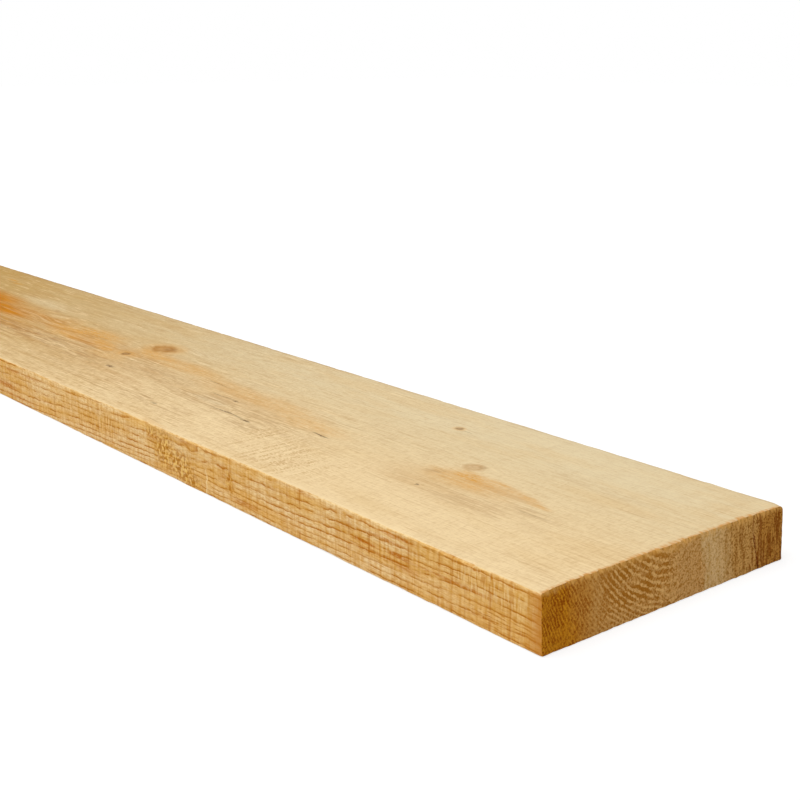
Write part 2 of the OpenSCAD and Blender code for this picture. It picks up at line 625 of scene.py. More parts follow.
class Graph:
    """Short ways to add nodes to a material. Values may be numbers or other nodes' sockets."""

    def __init__(self, tree):
        self.tree = tree

    def feed(self, socket, value):
        """Links a socket to another one, or sets its number or colour."""
        if isinstance(value, bpy.types.NodeSocket):
            self.tree.links.new(value, socket)
        else:
            socket.default_value = value

    def add(self, kind, *values, **settings):
        """A new node with these settings, whose first inputs get the values."""
        node = self.tree.nodes.new(kind)
        for name, value in settings.items():
            setattr(node, name, value)
        for socket, value in zip(node.inputs, values):
            self.feed(socket, value)
        return node

    def math(self, operation, *values):
        return self.add("ShaderNodeMath", *values, operation=operation).outputs[0]

    def times(self, first, *others):
        """The product of some values."""
        for other in others:
            first = self.math("MULTIPLY", first, other)
        return first

    def less(self, first, second):
        """The first value less the second."""
        return self.math("SUBTRACT", first, second)

    def scaled(self, value, factor, plus):
        """A value times a factor, plus another value."""
        return self.math("MULTIPLY_ADD", value, factor, plus)

    def vector(self, operation, *values):
        node = self.add("ShaderNodeVectorMath", *values, operation=operation)
        return node.outputs["Value" if operation == "LENGTH" else "Vector"]

    def split(self, vector):
        return self.add("ShaderNodeSeparateXYZ", vector).outputs[:]

    def join(self, x=0.0, y=0.0, z=0.0):
        return self.add("ShaderNodeCombineXYZ", x, y, z).outputs[0]

    def noise(self, place, sizes, detail=2.0, output="Fac"):
        """Noise whose patches have about these sizes along the three axes."""
        node = self.add("ShaderNodeTexNoise")
        scales = [1 / size for size in sizes]
        self.feed(node.inputs["Vector"], self.vector("MULTIPLY", place, scales))
        node.inputs["Scale"].default_value = 1.0
        node.inputs["Detail"].default_value = detail
        return node.outputs[output]

    def remap(self, value, low, high, to_low=0.0, to_high=1.0):
        """Goes smoothly from to_low to to_high as the value goes from low to high."""
        node = self.add("ShaderNodeMapRange", interpolation_type="SMOOTHSTEP")
        settings = {"From Min": low, "From Max": high, "To Min": to_low, "To Max": to_high}
        for name, setting in settings.items():
            node.inputs[name].default_value = setting
        self.feed(node.inputs["Value"], value)
        return node.outputs["Result"]

    def mix(self, first, second, share):
        """A colour between two others."""
        node = self.add("ShaderNodeMix", data_type="RGBA")
        for identifier, value in (("Factor_Float", share), ("A_Color", first), ("B_Color", second)):
            socket = next(s for s in node.inputs if s.identifier == identifier)
            self.feed(socket, value)
        return next(s for s in node.outputs if s.identifier == "Result_Color")

    def paint(self, colour, *layers):
        """Lays tints over a colour. A layer is a tint and shares, whose product is how much it covers."""
        for tint, *shares in layers:
            colour = self.mix(colour, tint, self.times(*shares))
        return colour

    def ramp(self, share, stops):
        """A colour that goes evenly from stop to stop. A stop is a share from 0 to 1 and its colour."""
        node = self.add("ShaderNodeValToRGB")
        elements = node.color_ramp.elements
        while len(elements) < len(stops):
            elements.new(0.5)
        for element, (place, colour) in zip(elements, stops):
            element.position = place
            element.color = colour
        self.feed(node.inputs["Fac"], share)
        return node.outputs["Color"]


# The wood. Its grain is worked out in the solid, so it runs on from one side to the next.

# Pith of the log, above the plank, and how it sways along it, up to where it runs straight
PITH_ACROSS = -3.0
PITH_UP = 46.0
PITH_SWAY = 4.0
PITH_SWAY_START = 395.0
PITH_SWAY_LENGTH = 135.0
PITH_STRAIGHT = 185.0
# Rings counted from the pith: scale times distance to this power, less an offset
RING_SCALE = 0.0098
RING_POWER = 1.834
RING_OFFSET = 0.3
# The dark part of a ring, as shares of its width: where it starts, is full and ends, and its least strength
FACE_LATE = 0.45
EDGE_LATE = 0.7
EDGE_BROAD_LATE = 0.4
LATE_FULL = 0.9
LATE_END = 0.93
LATE_LEAST = 0.4

# Knots, where they meet the upper face. They lean away from the pith as they go down.
Knot = namedtuple("Knot", "along across reach_along reach_across lean_along strength halo")
KnotField = namedtuple("KnotField", "nearest shown halo")
TAN_KNOTS = (
    Knot(126, 7, 6.5, 6.0, 0.1, 0.42, 0.0),
    Knot(441, 19, 13.0, 9.2, -0.2, 0.8, 0.3),
    Knot(562, 10, 12.0, 9.0, 0.15, 0.25, 0.05),
    Knot(1195, 31, 7.5, 6.5, -0.2, 0.8, 0.35),
    Knot(1400, -5, 12.0, 9.5, 0.2, 0.8, 0.35),
)
DARK_KNOTS = (
    Knot(123, 9.5, 2.6, 2.4, 0.1, 0.16, 0.0),
    Knot(179, 45, 2.9, 2.4, 0.05, 0.6, 0.3),
    Knot(436, 21, 5.5, 4.5, -0.2, 0.3, 0.0),
    Knot(445, -7, 4.2, 3.4, -0.1, 0.65, 0.2),
    Knot(1010, -22, 9.0, 7.5, 0.2, 0.8, 0.35),
    Knot(1630, 24, 5.5, 5.0, -0.1, 0.8, 0.35),
)
KNOT_GROWTH = 0.03
KNOT_RAGGED = 0.4
# In reaches from a knot's middle: far off, where its body and halo fade, and where it bends the rings
KNOT_FAR = 100.0
KNOT_BODY = (0.55, 1.15)
KNOT_HALO = (0.8, 1.9)
KNOT_BEND = (0.6, 2.4)
RING_PUSH = 4.0
KNOT_RING_PITCH = 15.0
KNOT_RING_SHADE = 0.1
# How far round a knot the fibres part, in its reaches, and how much
PARTED_ALONG = 4.0
PARTED_ACROSS = 2.6
PARTED_SHARE = 0.65

# Stained places: centre, reach both ways and strength, which is full in the core share of the reach
Spot = namedtuple("Spot", "along across reach_along reach_across strength")
SPOT_CORE = 0.15


def spots(*rows):
    """Spots from rows of their values."""
    return [Spot(*row) for row in rows]


TAN_SPOTS = spots(
    (450, -14, 120, 42, 0.9), (310, -12, 110, 30, 0.5), (98, -10, 42, 14, 0.7), (610, -20, 120, 36, 0.9),
    (1020, -18, 120, 34, 0.7), (1400, 0, 160, 36, 0.7), (550, -26, 80, 16, 1.2), (115, -24, 70, 24, 0.5),
    (400, -42, 60, 16, 0.6),
)
AMBER_SPOTS = spots(
    (706, 5, 95, 25, 1.05), (640, 1, 120, 24, 0.5), (642, -4, 72, 16, 1.1), (608, 2, 60, 11, 0.55),
    (545, -5, 60, 10, 0.4), (500, -8, 50, 9, 0.45), (1330, -8, 160, 16, 0.6),
)
ORANGE_SPOTS = spots(
    (119, -5, 20, 10, 1.05), (112, -9, 38, 15, 0.65), (103, -1, 16, 5, 0.6), (91, -3, 14, 5, 0.4),
    (80, -5, 14, 4.5, 0.55), (71, -8, 12, 3.5, 0.6), (290, -4, 95, 15, 0.45), (335, 0, 70, 10, 0.35),
    (235, -11, 46, 12, 0.5), (385, 4, 60, 13, 0.6), (425, 5, 40, 10, 0.8), (445, -7, 22, 11, 0.6),
    (466, -10, 16, 7, 0.9), (483, -4, 24, 9, 0.9), (520, 0, 70, 8, 1.0), (510, 5, 52, 16, 1.0),
    (525, -10, 40, 9, 0.7), (452, -18, 30, 8, 0.5), (562, 10, 26, 13, 0.35), (600, -22, 90, 14, 0.3),
    (290, -74, 26, 4, 0.5), (754, 51, 16, 2.5, 0.7), (735, 47, 14, 2.5, 0.6), (339, -2, 16, 1.2, 0.8),
    (1020, -18, 60, 10, 0.5), (1190, 24, 45, 9, 0.4), (1650, 20, 50, 7, 0.4),
)
GREY_SPOTS = spots(
    (285, -26, 110, 19, 0.8), (556, -28, 62, 15, 1.3), (606, -26, 70, 12, 1.5), (330, -52, 46, 10, 0.8),
    (470, -30, 70, 18, 0.8), (455, -48, 90, 20, 0.35), (515, -27, 46, 14, 1.5), (258, -40, 28, 9, 0.8),
    (586, -35, 44, 10, 1.6), (514, 0, 45, 11, 0.7), (66, -14, 20, 6, 0.7), (61, -18, 24, 6, 0.6),
    (95, -28, 70, 12, 0.6), (133, -11, 10, 6, 0.9), (70, 30, 50, 7, 0.35), (380, -20, 60, 14, 0.8),
    (900, -40, 130, 14, 0.5), (1300, 30, 120, 14, 0.6),
)
PALE_SPOTS = spots(
    (635, 28, 70, 13, 0.5), (405, 31, 50, 9, 0.4), (1120, 10, 90, 14, 0.4), (235, 3, 40, 9, 0.5),
    (325, 13, 40, 10, 0.5), (311, -25, 26, 8, 0.6),
)
SLIT_SPOTS = spots(
    (213, -18, 9, 1.4, 1.0), (300, -16.5, 4, 1.3, 1.0), (312, -15, 14, 0.8, 0.6), (280, -32, 26, 0.8, 0.7),
    (263, -33, 6, 1.4, 1.0), (324, -53, 6, 1.2, 0.5), (124, -30, 2.2, 1.2, 0.7), (60, -18, 12, 0.8, 0.3),
    (170, 44, 7, 1.0, 0.3), (421, -30.5, 8, 2.2, 1.0), (339, -2, 16, 0.8, 0.6),
)
HATCH_SPOTS = spots((200, -55, 60, 36, 1.0), (228, -38, 46, 24, 0.9), (14, 40, 16, 60, 0.25))
# Tufts of fibre along the upper rim of the checked end, where the first place is across
TUFT_SPOTS = spots((2, 0, 12, 1, 1.0), (46, 0, 14, 1, 0.8), (25, 0, 9, 1, 0.5), (-18, 0, 12, 1, 0.5))
# Places on the front edge, where the second place is up
EDGE_AMBER_SPOTS = spots(
    (213, 12.5, 5.5, 7.5, 0.6), (219, 15, 6, 8, 0.3), (288, 18.5, 13, 2.4, 0.7), (200, 5, 18, 2.6, 0.6),
    (106, 13.6, 14, 1.3, 1.0), (84, 14, 10, 1.7, 1.0), (84, 22, 18, 1.6, 0.6), (90, 19, 20, 1.0, 0.6),
    (77, 10, 12, 2.0, 0.5), (90, 11, 30, 1.0, 0.6), (50, 14, 40, 0.9, 0.7), (150, 23, 12, 1.5, 0.4),
    (255, 23, 14, 1.6, 0.5), (470, 20, 20, 1.4, 0.7), (480, 9, 26, 2.0, 0.9), (462, 4, 40, 1.0, 0.5),
    (440, 20, 16, 1.2, 0.5),
)
EDGE_PALE_SPOTS = spots((235, 6, 0.9, 12, 0.9), (350, 12, 0.9, 16, 0.4))
EDGE_ROW_SPOTS = spots((20, 6.5, 34, 7, 1.0), (95, 12, 60, 14, 0.45), (350, 9, 40, 9, 0.35))
EDGE_TEETH_SPOTS = spots((30, 18, 42, 10, 0.75), (345, 12, 48, 22, 0.7), (95, 14, 36, 14, 0.5))
EDGE_TORN_SPOTS = spots(
    (277, 14, 17, 15, 1.0), (262, 9, 20, 12, 1.0), (288, 20, 13, 5, 0.9), (252, 4, 18, 7, 0.9),
    (213, 12, 6, 9, 0.7),
)
# Rows of dashes and teeth show at least this much anywhere on an edge
ROW_PITCH = 1.75
ROW_LEAST = 0.18
TEETH_LEAST = 0.25
# A place on the front edge where the rings swirl, and how far it pushes them
SWIRL_ALONG = 240.0
SWIRL_CORE = 8.0
SWIRL_REACH = 36.0
SWIRL_PUSH = 3.0

# Textures: the sizes of their patches along, across and up, and their detail. The first flow round knots.
FACE_FIBRES = {
    "fibre": ((22, 1.2, 1.2), 3), "fine": ((8, 0.8, 0.8), 3), "dashes": ((16, 1.6, 1.6), 2),
    "streaks": ((80, 5, 5), 3), "mottle": ((70, 16, 16), 4),
}
FACE_TEXTURES = {
    "speck": ((1.6, 1.2, 1.2), 1), "fleck": ((2.2, 0.8, 0.8), 1), "nap": ((1.4, 5, 5), 2),
    "columns": ((2.2, 45, 45), 1), "patchy": ((50, 18, 18), 2),
}
EDGE_TEXTURES = {
    "fine": ((3.2, 0.7, 0.7), 2), "broken": ((10, 8, 2.2), 3), "ragged": ((5, 9, 3), 3),
    "teeth": ((0.9, 7, 6), 2), "torn": ((1.9, 2.4, 2.0), 2), "ripple": ((2.6, 40, 30), 2),
    "twist": ((14, 40, 12), 1), "blush": ((30, 30, 5), 3), "scored": ((30, 30, 6), 2),
    "row_shift": ((12, 12, 4), 1), "row_gaps": ((5, 5, 1.2), 2),
}
END_TEXTURES = {
    "pits": ((1.5, 0.9, 0.9), 2), "fuzz": ((3, 1.6, 1.6), 3), "upright": ((3, 1.5, 12), 2),
    "blot": ((20, 9, 14), 2), "wobble": ((9, 3, 3), 2), "ring_gaps": ((20, 11, 7), 2),
    "grit": ((1.0, 0.8, 0.8), 1),
}
KNOT_RIM = ((6, 4, 6), 3)
FRINGE_EDGE = ((5, 2.4, 5), 4)
FRINGE_GAPS = ((6, 1.5, 6), 3)
# How noise bends the grain: the sizes of its patches, and how far it reaches along each axis
RING_BEND = ((240, 38, 38), (0.0, 3.5, 3.5))
FACE_BEND = ((22, 7, 7), (9.0, 2.6, 0.0))
EDGE_BEND = ((14, 9, 5), (2.5, 0.0, 1.0))

# The fringe of fibres at the ends' upper rims: how far it reaches, further in tufts, and how ragged it is
FACE_FRINGE = 3.0
END_FRINGE = 2.8
FRINGE_RAGGED = 2.5
TUFT_SHARE = 0.8

# Gloss, and the depth of the fine relief that only shades
SIDE_GLOSS = 0.1
END_GLOSS = 0.05
FACE_GRAIN_DEPTH = 0.22
EDGE_GRAIN_DEPTH = 0.25
END_GRAIN_DEPTH = 0.4

# Colours
CREAM_FAR = tone(230, 211, 170)
CREAM_NEAR = tone(243, 216, 168)
# Pale fibres, and the painted highlight along the front arris of the wide faces
CREAM_FIBRE_AND_HIGHLIGHT = tone(252, 226, 178)
STRAW = tone(224, 190, 134)
DULL_STRAW = tone(182, 140, 54)
TAN = tone(194, 142, 82)
GOLD_STREAK = tone(180, 130, 56)
RING_TAN = tone(196, 150, 86)
FIBRE_BROWN = tone(176, 128, 66)
ORANGE = tone(220, 156, 58)
AMBER = tone(202, 128, 4)
DEEP_AMBER = tone(156, 88, 0)
GREY_BROWN = tone(162, 116, 66)
# Grey-brown stains, and the painted shade along the back arris of the wide faces
FRINGE = tone(206, 134, 40)
KNOT_TAN = tone(178, 122, 52)
KNOT_DARK = tone(118, 78, 36)
SLIT_BROWN = tone(90, 56, 22)
EDGE_PALE = tone(247, 216, 160)
EDGE_WARM = tone(238, 193, 118)
EDGE_GOLD = tone(208, 144, 36)
EDGE_RING = tone(181, 106, 0)
EDGE_RESIN = tone(188, 106, 0)
EDGE_TORN = tone(176, 112, 0)
EDGE_FLECK = tone(250, 210, 120)
# Pale scratches, and the painted highlight along the edges' upper arris
EDGE_SCRATCH_AND_HIGHLIGHT = tone(250, 220, 162)
EDGE_CORNER = tone(196, 124, 40)
END_FUZZ = tone(226, 170, 90)
# Dark brown painted along the drying check, as the shade inside the crack
CHECK_SHADE_BROWN = tone(110, 42, 2)
STREAK_RED = tone(132, 66, 4)

# The ends' grain, light and dark, the zones that it lies in across the plank, and how far their bounds stray
Grain = namedtuple("Grain", "light dark")
RESINOUS = Grain(tone(210, 141, 28), tone(148, 74, 0))
STREAKED = Grain(tone(212, 160, 88), tone(172, 110, 32))
RINGED = Grain(tone(232, 183, 112), tone(169, 109, 30))
PLAIN = Grain(tone(216, 168, 104), tone(170, 116, 44))
PALE = Grain(tone(222, 184, 128), tone(188, 144, 76))
SPECKLED = Grain(tone(210, 160, 90), tone(150, 98, 28))
DARK_EDGE = Grain(tone(192, 134, 58), tone(128, 74, 0))
END_ZONES = (
    (-75, RESINOUS), (-59, RESINOUS), (-45, STREAKED), (-30, RINGED), (-6, RINGED), (8, PLAIN), (19, PLAIN),
    (22, PALE), (31, PALE), (42, SPECKLED), (54, SPECKLED), (62, DARK_EDGE), (75, DARK_EDGE),
)
ZONE_STRAY = 6.0


def new_material(name):
    """A material, its graph and its shader."""
    material = bpy.data.materials.new(name)
    material.use_nodes = True
    graph = Graph(material.node_tree)
    shader = material.node_tree.nodes["Principled BSDF"]
    return material, graph, shader


def plank_place(g):
    """A point's along, across and up, in millimetres."""
    scale = 1 / MM
    at = g.add("ShaderNodeTexCoord").outputs["Object"]
    return g.vector("MULTIPLY_ADD", at, (-scale, scale, scale), (END_X, 0.0, 0.0))


def textures(g, place, table):
    """The noise of each texture in a table, by its name."""
    return {name: g.noise(place, sizes, detail) for name, (sizes, detail) in table.items()}


def bent(g, place, sizes, reach):
    """The place moved about by noise, up to reach along each axis."""
    colour = g.noise(place, sizes, output="Color")
    centred = g.vector("SUBTRACT", colour, (0.5, 0.5, 0.5))
    return g.vector("MULTIPLY_ADD", centred, [2 * r for r in reach], place)


def distance_from(g, place, mark, stretch_along=1.0, stretch_across=1.0):
    """How far a place lies from a knot's or spot's middle, where 1 is its reach, which may be stretched."""
    off = g.vector("SUBTRACT", place, (mark.along, mark.across, 0.0))
    scales = (1 / (stretch_along * mark.reach_along), 1 / (stretch_across * mark.reach_across), 0.0)
    return g.vector("LENGTH", g.vector("MULTIPLY", off, scales))


def knot_field(g, place, knots):
    """Distance from the nearest knot's middle, where 1 is its rim, and how much knots and halos show."""
    depth = g.less(THICK, g.split(place)[2])
    shrink = g.math("DIVIDE", 1.0, g.scaled(depth, KNOT_GROWTH, 1.0))
    ragged = g.scaled(g.noise(place, *KNOT_RIM), 2 * KNOT_RAGGED, -KNOT_RAGGED)
    nearest, shown, halo = KNOT_FAR, 0.0, 0.0
    for knot in knots:
        lean = (-knot.lean_along, -(knot.across - PITH_ACROSS) / (PITH_UP - THICK), 0.0)
        slid = g.vector("MULTIPLY_ADD", g.join(depth, depth), lean, place)
        distance = g.scaled(distance_from(g, slid, knot), shrink, ragged)
        shown = g.math("MAXIMUM", shown, g.remap(distance, *KNOT_BODY, knot.strength, 0.0))
        halo = g.math("MAXIMUM", halo, g.remap(distance, *KNOT_HALO, knot.halo, 0.0))
        nearest = g.math("MINIMUM", nearest, distance)
    return KnotField(nearest, shown, halo)


def round_knots(g, place, knots):
    """The place that a fibre would have without the knots, which part the fibres and make them flow round."""
    parted = place
    for knot in knots:
        distance = distance_from(g, place, knot, PARTED_ALONG, PARTED_ACROSS)
        near = g.remap(distance, SPOT_CORE, 1.0, PARTED_SHARE, 0.0)
        off = g.vector("SUBTRACT", place, (knot.along, knot.across, 0.0))
        shift = g.vector("MULTIPLY", off, (0.0, -1.0, 0.0))
        parted = g.vector("MULTIPLY_ADD", shift, g.join(near, near, near), parted)
    return parted


def spotted(g, along, second, places):
    """The strongest of some spots at a point."""
    at = g.join(along, second)
    strongest = 0.0
    for spot in places:
        here = g.remap(distance_from(g, at, spot), SPOT_CORE, 1.0, spot.strength, 0.0)
        strongest = g.math("MAXIMUM", strongest, here)
    return strongest


def stain(g, wood, places):
    """How much some spots show at a point of the side that they lie on."""
    return g.times(spotted(g, wood.along, wood.second, places), wood.spotted_side)


def knot_push(g, nearest):
    """How far the nearest knot pushes the rings outward."""
    return g.remap(nearest, *KNOT_BEND, RING_PUSH, 0.0)


def ring_count(g, place, push):
    """How many rings lie between the pith and a point, where push moves them outward."""
    along, across, up = g.split(bent(g, place, *RING_BEND))
    along = g.math("MAXIMUM", along, PITH_STRAIGHT)
    turn = g.math("DIVIDE", g.less(PITH_SWAY_START, along), PITH_SWAY_LENGTH)
    pith = g.scaled(g.math("SINE", turn), PITH_SWAY, PITH_ACROSS)
    from_pith = g.join(0.0, g.less(across, pith), g.less(up, PITH_UP))
    distance = g.math("ADD", g.vector("LENGTH", from_pith), push)
    return g.scaled(g.math("POWER", distance, RING_POWER), RING_SCALE, -RING_OFFSET)


def latewood(g, count, start):
    """The dark part of each ring, from 0 to 1, which grows from the start share. Some rings are stronger."""
    phase = g.math("FRACT", count)
    rise = g.remap(phase, start, LATE_FULL)
    fall = g.remap(phase, LATE_END, 1.0, 1.0, 0.0)
    chance = g.add("ShaderNodeTexWhiteNoise", noise_dimensions="1D")
    g.feed(chance.inputs["W"], g.math("FLOOR", count))
    strength = g.scaled(chance.outputs["Value"], 1 - LATE_LEAST, LATE_LEAST)
    return g.times(rise, fall, strength)


def point_value(g, name):
    """A value that the mesh's points carry."""
    node = g.add("ShaderNodeAttribute", attribute_name=name)
    return node.outputs["Fac"]


def knot_colours(g, colour, field, dark):
    """Paints knots over a colour: a stained halo, and a body with soft rings and a darker rim."""
    turn = g.math("SINE", g.times(field.nearest, KNOT_RING_PITCH))
    rings = g.scaled(turn, KNOT_RING_SHADE, 1 - KNOT_RING_SHADE)
    rim = g.remap(field.nearest, 0.2, 0.75, 0.85, 1.15)
    return g.paint(colour, (ORANGE, field.halo), (dark, field.shown, rings, rim))


def rim_fringe(g, place, off_rim, reach):
    """How much the cross-cut's fibres cover a point at that distance from an end's upper rim."""
    tufted = spotted(g, g.split(place)[1], 0.0, TUFT_SPOTS)
    edge = g.math("ADD", off_rim, FRINGE_RAGGED)
    ragged = g.scaled(g.noise(place, *FRINGE_EDGE), -2 * FRINGE_RAGGED, edge)
    full = g.times(g.scaled(tufted, TUFT_SHARE, 1.0), reach)
    dense = g.remap(g.noise(place, *FRINGE_GAPS), 0.36, 0.62, 0.3, 1.0)
    return g.times(g.remap(g.math("DIVIDE", ragged, full), 0.0, 1.0, 1.0, 0.0), dense)


def dress(g, shader, colour, roughness, gloss, relief, depth):
    """Sets a wood's shader. Its fine relief is a sum of weighted values, and 1 stands for the depth."""
    g.feed(shader.inputs["Base Color"], colour)
    g.feed(shader.inputs["Roughness"], roughness)
    shader.inputs["Specular IOR Level"].default_value = gloss
    height = 0.0
    for value, weight in relief:
        height = g.scaled(value, weight, height)
    bump = g.add("ShaderNodeBump")
    bump.inputs["Strength"].default_value = 1.0
    bump.inputs["Distance"].default_value = depth * MM
    g.feed(bump.inputs["Height"], height)
    g.feed(shader.inputs["Normal"], bump.outputs["Normal"])


# The wide faces. In a layer, remap says where in a texture or on the plank a tint comes in, and how much.

def face_grain(g):
    """What the faces' layers are made of: places, textures, knots, rings and slits."""
    place = plank_place(g)
    flow = round_knots(g, place, TAN_KNOTS + DARK_KNOTS)
    fibres = textures(g, flow, FACE_FIBRES)
    wood = SimpleNamespace(place=place, **fibres, **textures(g, place, FACE_TEXTURES))
    wood.along, wood.across, up = g.split(bent(g, place, *FACE_BEND))
    wood.second = wood.across
    wood.spotted_side = g.remap(up, 0.4 * THICK, 0.6 * THICK)
    wood.tan_knots = knot_field(g, place, TAN_KNOTS)
    wood.dark_knots = knot_field(g, place, DARK_KNOTS)
    nearest = g.math("MINIMUM", wood.tan_knots.nearest, wood.dark_knots.nearest)
    wood.late = latewood(g, ring_count(g, place, knot_push(g, nearest)), FACE_LATE)
    wood.slits = g.times(stain(g, wood, SLIT_SPOTS), g.remap(wood.fleck, 0.36, 0.52, 0.35, 1.0))
    return wood


def bare_face(g, wood):
    """Pale wood, duller away from the checked end, with broad streaks and faint rings."""
    off_middle = g.math("ABSOLUTE", g.less(wood.across, 3.0))
    distant = g.times(g.remap(wood.along, 300, 620), g.remap(wood.across, 30, -5, 0.35, 1.0))
    return g.paint(
        CREAM_FAR,
        (CREAM_NEAR, g.remap(wood.across, 45, -60)),
        (STRAW, g.remap(off_middle, 20, 48, 0.2, 0.0)),
        (STRAW, g.remap(wood.mottle, 0.42, 0.7, 0.0, 0.35)),
        (DULL_STRAW, g.remap(wood.along, 210, 900), g.remap(wood.along, 880, 1300, 0.86, 0.4)),
        (CREAM_FAR, stain(g, wood, PALE_SPOTS)),
        (TAN, stain(g, wood, TAN_SPOTS), g.remap(wood.streaks, 0.35, 0.65, 0.1, 0.55)),
        (GOLD_STREAK, g.remap(wood.streaks, 0.48, 0.66, 0.0, 0.6), distant),
        (CREAM_NEAR, g.remap(wood.streaks, 0.47, 0.32, 0.0, 0.4), distant),
        (RING_TAN, wood.late, 0.08),
    )


def face_fibres(g, colour, wood):
    """Dark and pale fibres, specks, and the nap that the saw raised."""
    rough = g.remap(wood.along, 100, 400, 0.7, 1.3)
    napped = g.times(rough, g.remap(wood.across, 40, 0, 0.4, 1.0))
    patchy = g.times(
        g.remap(wood.patchy, 0.35, 0.65, 0.4, 1.2),
        g.remap(wood.along, 120, 420, 0.7, 1.6),
        g.remap(wood.across, 35, -15, 0.7, 1.0),
    )
    return g.paint(
        colour,
        (FIBRE_BROWN, g.remap(wood.fibre, 0.49, 0.72, 0.0, 0.32), patchy),
        (CREAM_FIBRE_AND_HIGHLIGHT, g.remap(wood.fibre, 0.46, 0.3, 0.0, 0.42), patchy),
        (FIBRE_BROWN, g.remap(wood.fine, 0.46, 0.7, 0.0, 0.2), rough),
        (FIBRE_BROWN, g.remap(wood.speck, 0.48, 0.72, 0.0, 0.15), rough),
        (FIBRE_BROWN, g.remap(wood.nap, 0.5, 0.68, 0.0, 0.18), napped),
        (CREAM_FIBRE_AND_HIGHLIGHT, g.remap(wood.nap, 0.46, 0.3, 0.0, 0.22), napped),
    )


def face_stains(g, colour, wood):
    """Amber, orange and grey stains, pitch slits and knots."""
    amber = stain(g, wood, AMBER_SPOTS)
    orange = stain(g, wood, ORANGE_SPOTS)
    fibrous = g.remap(wood.fibre, 0.36, 0.62, 0.1, 0.5)
    flecked = g.remap(wood.fleck, 0.38, 0.62, 0.1, 0.45)
    colour = g.paint(
        colour,
        (AMBER, amber, g.remap(wood.streaks, 0.36, 0.58, 0.55, 1.0)),
        (DEEP_AMBER, amber, g.remap(wood.fibre, 0.46, 0.62, 0.0, 0.45)),
        (ORANGE, orange, g.math("ADD", fibrous, flecked)),
        (GOLD_STREAK, orange, g.remap(wood.fine, 0.48, 0.64, 0.0, 0.2)),
        (GREY_BROWN, stain(g, wood, GREY_SPOTS), g.remap(wood.dashes, 0.38, 0.64), 0.42),
        (SLIT_BROWN, wood.slits, 0.9),
    )
    colour = knot_colours(g, colour, wood.tan_knots, KNOT_TAN)
    return knot_colours(g, colour, wood.dark_knots, KNOT_DARK)


def face_marks(g, colour, wood):
    """The saw's hatching and marks, painted highlight on the front arris, painted shade on the back arris,
    the ends' fringe.
    """
    hatched = g.times(g.remap(wood.columns, 0.46, 0.56), g.remap(wood.fleck, 0.42, 0.6))
    # Painted highlight: the wide faces turn pale along their front arris
    front_arris_highlight = g.remap(wood.across, 5.0 - SIDE_Y, 0.5 - SIDE_Y)
    # Painted shade: the wide faces turn grey-brown along their back arris
    back_arris_shade = g.remap(wood.across, SIDE_Y - 3.0, SIDE_Y - 0.2)
    fringe = rim_fringe(g, wood.place, point_value(g, RIM_NAME), FACE_FRINGE)
    return g.paint(
        colour,
        (GOLD_STREAK, stain(g, wood, HATCH_SPOTS), hatched, 0.5),
        (FIBRE_BROWN, point_value(g, MARKS_NAME), 0.08),
        (CREAM_FIBRE_AND_HIGHLIGHT, front_arris_highlight, g.remap(wood.fibre, 0.4, 0.6, 0.0, 0.6)),
        (GREY_BROWN, back_arris_shade, g.remap(wood.along, 200, 500, 0.25, 0.55)),
        (FRINGE, fringe, 0.8),
    )


def face_material():
    """The two wide faces: pale wood with faint rings, stains, knots and slits."""
    material, g, shader = new_material("sawn_face")
    wood = face_grain(g)
    colour = bare_face(g, wood)
    for layers in (face_fibres, face_stains, face_marks):
        colour = layers(g, colour, wood)
    roughness = g.remap(wood.fibre, 0.3, 0.7, 0.84, 0.72)
    relief = ((wood.fibre, 0.3), (wood.fine, 0.5), (wood.columns, 0.3), (wood.slits, -1.2))
    dress(g, shader, colour, roughness, SIDE_GLOSS, relief, FACE_GRAIN_DEPTH)
    return material


# The edges

def edge_grain(g):
    """What the edges' layers are made of: places, textures, knots, rings, and the torn and toothed places."""
    place = plank_place(g)
    wood = SimpleNamespace(**textures(g, place, EDGE_TEXTURES))
    wood.along, across, wood.up = g.split(bent(g, place, *EDGE_BEND))
    wood.second = wood.up
    wood.spotted_side = g.remap(across, -40, -60)
    wood.knots = knot_field(g, place, TAN_KNOTS + DARK_KNOTS)
    off_swirl = g.math("ABSOLUTE", g.less(wood.along, SWIRL_ALONG))
    swirl = g.remap(off_swirl, SWIRL_CORE, SWIRL_REACH, 1.0, 0.0)
    twist = g.times(g.less(wood.twist, 0.5), swirl, wood.spotted_side)
    push = g.scaled(twist, SWIRL_PUSH, knot_push(g, wood.knots.nearest))
    push = g.math("ADD", push, g.scaled(wood.ragged, 0.7, -0.35))
    count = ring_count(g, place, push)
    wood.late = latewood(g, count, EDGE_LATE)
    wood.broad_late = latewood(g, count, EDGE_BROAD_LATE)
    wood.flecked = stain(g, wood, EDGE_TORN_SPOTS)
    wood.toothed = g.math("MAXIMUM", stain(g, wood, EDGE_TEETH_SPOTS), TEETH_LEAST)
    return wood


